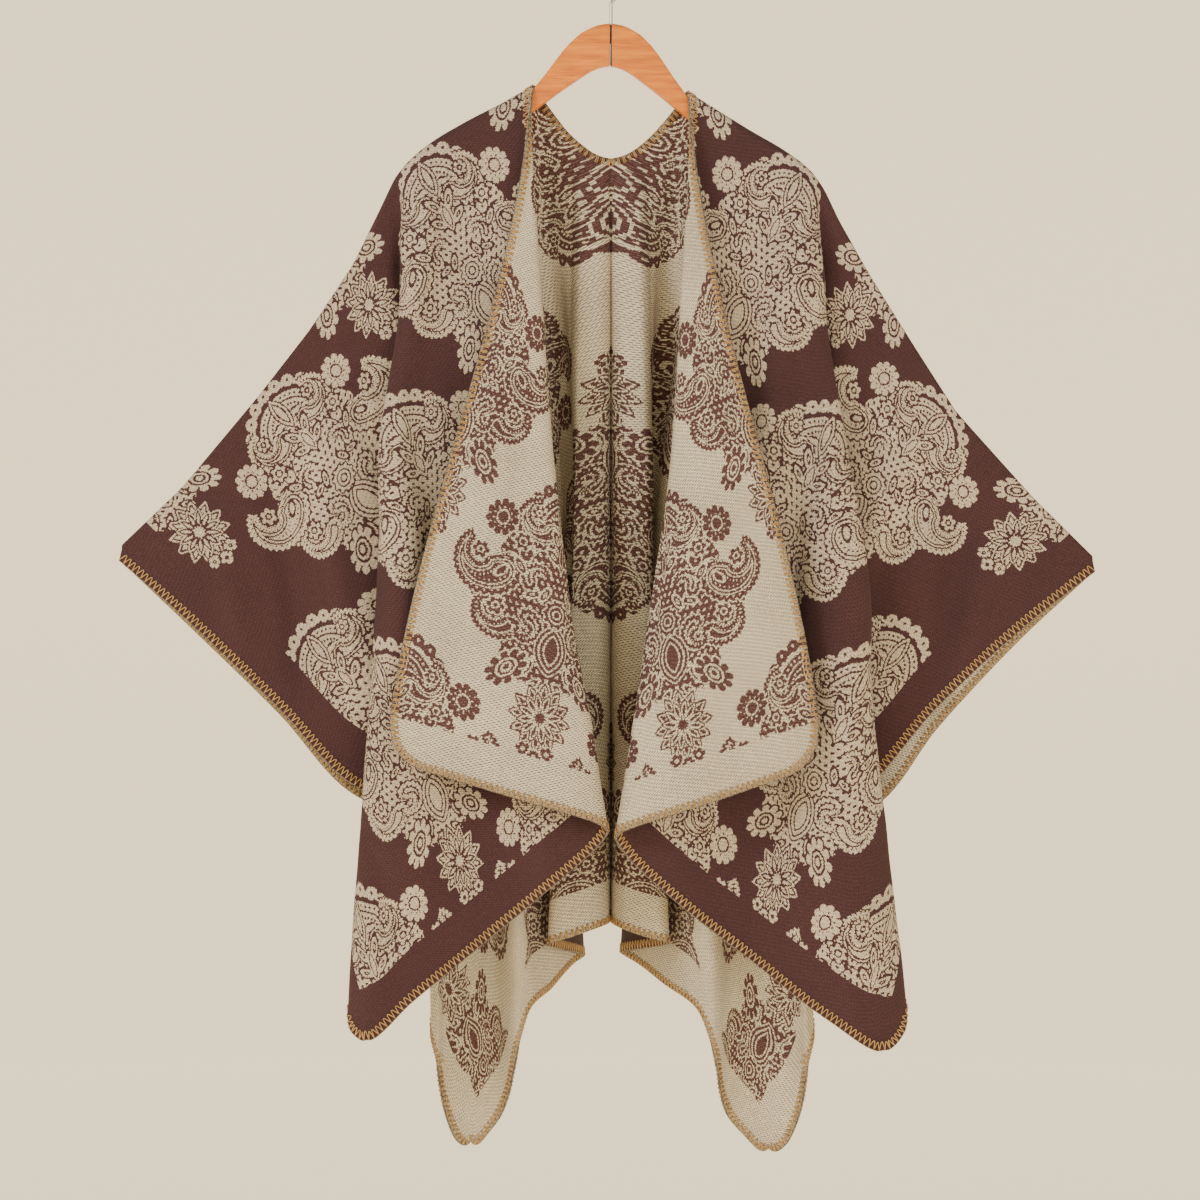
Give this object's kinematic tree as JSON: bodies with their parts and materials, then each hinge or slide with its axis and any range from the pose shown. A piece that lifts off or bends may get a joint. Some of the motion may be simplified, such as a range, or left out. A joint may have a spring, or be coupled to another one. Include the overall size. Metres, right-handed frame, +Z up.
{
  "type": "ruana on a wooden hanger",
  "caption": "Open-front wrap of double-faced paisley cloth with turned lapels and blanket-stitched edges, draped over a wooden hanger with a wire hook.",
  "frame": {"origin": "the inside top of the hanger's hook, where a rail carries it", "axes": "+X to the viewer's right across the garment, +Y from its front to its back, +Z up along the hook's shank"},
  "size_m": [0.9742, 0.2177, 1.1988],
  "materials": {
    "cloth": "brushed double-faced weave, brown outside with beige motifs, beige inside with brown motifs",
    "wood": "clear-varnished orange-brown wood",
    "steel": "bright drawn wire"
  },
  "bodies": {
    "root": {"front_left": "cloth", "front_right": "cloth", "back": "cloth", "hanger_arm_left": "wood", "hanger_arm_right": "wood", "hanger_hook": "steel"}
  },
  "joints": []
}
